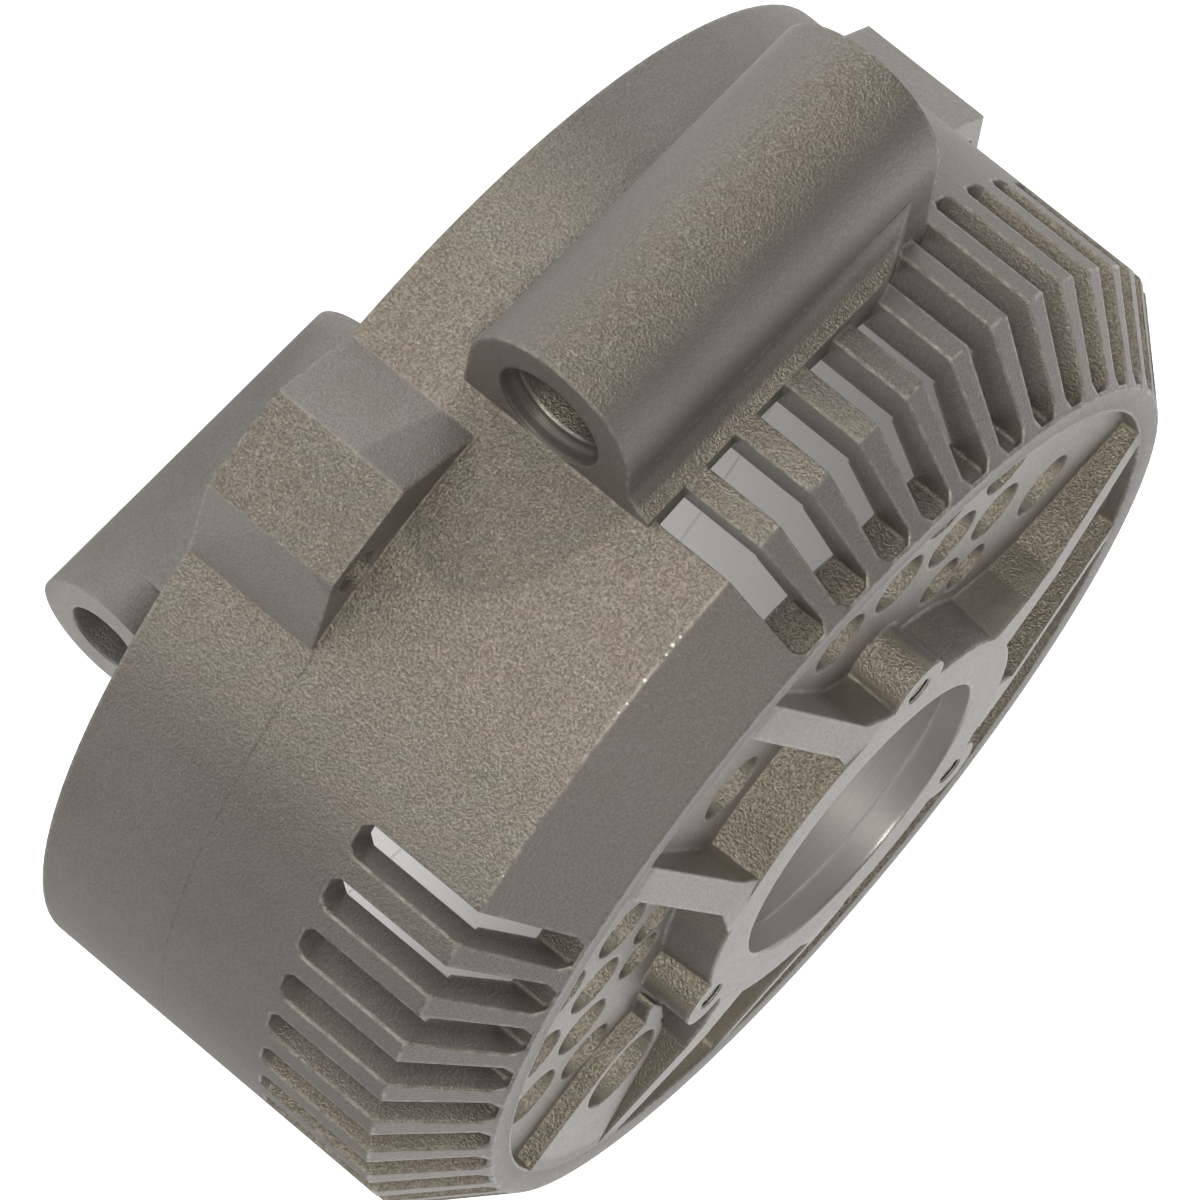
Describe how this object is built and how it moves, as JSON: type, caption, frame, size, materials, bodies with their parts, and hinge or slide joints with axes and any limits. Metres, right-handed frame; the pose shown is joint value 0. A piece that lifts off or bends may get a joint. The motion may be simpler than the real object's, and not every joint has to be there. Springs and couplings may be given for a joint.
{
  "type": "alternator drive end frame",
  "caption": "Drive end frame of an alternator: cast aluminium drum with a finned cooling shoulder, ribbed and vented front plate, bearing hub, through-bolt lugs and mounting bosses.",
  "frame": {"origin": "on the rotor shaft axis, in the plane of the rear rim that meets the stator and the rear frame", "axes": "+Z along the shaft toward the pulley; +X along the mounting bores; +Y from the shaft toward the front mounting boss"},
  "size_m": [0.1617, 0.1963, 0.1266],
  "materials": {
    "cast_aluminium": "as cast, fine grain; bearing seat, stator seat and bore mouths machined"
  },
  "bodies": {
    "root": {"drive_end_frame": "cast_aluminium"}
  },
  "joints": []
}
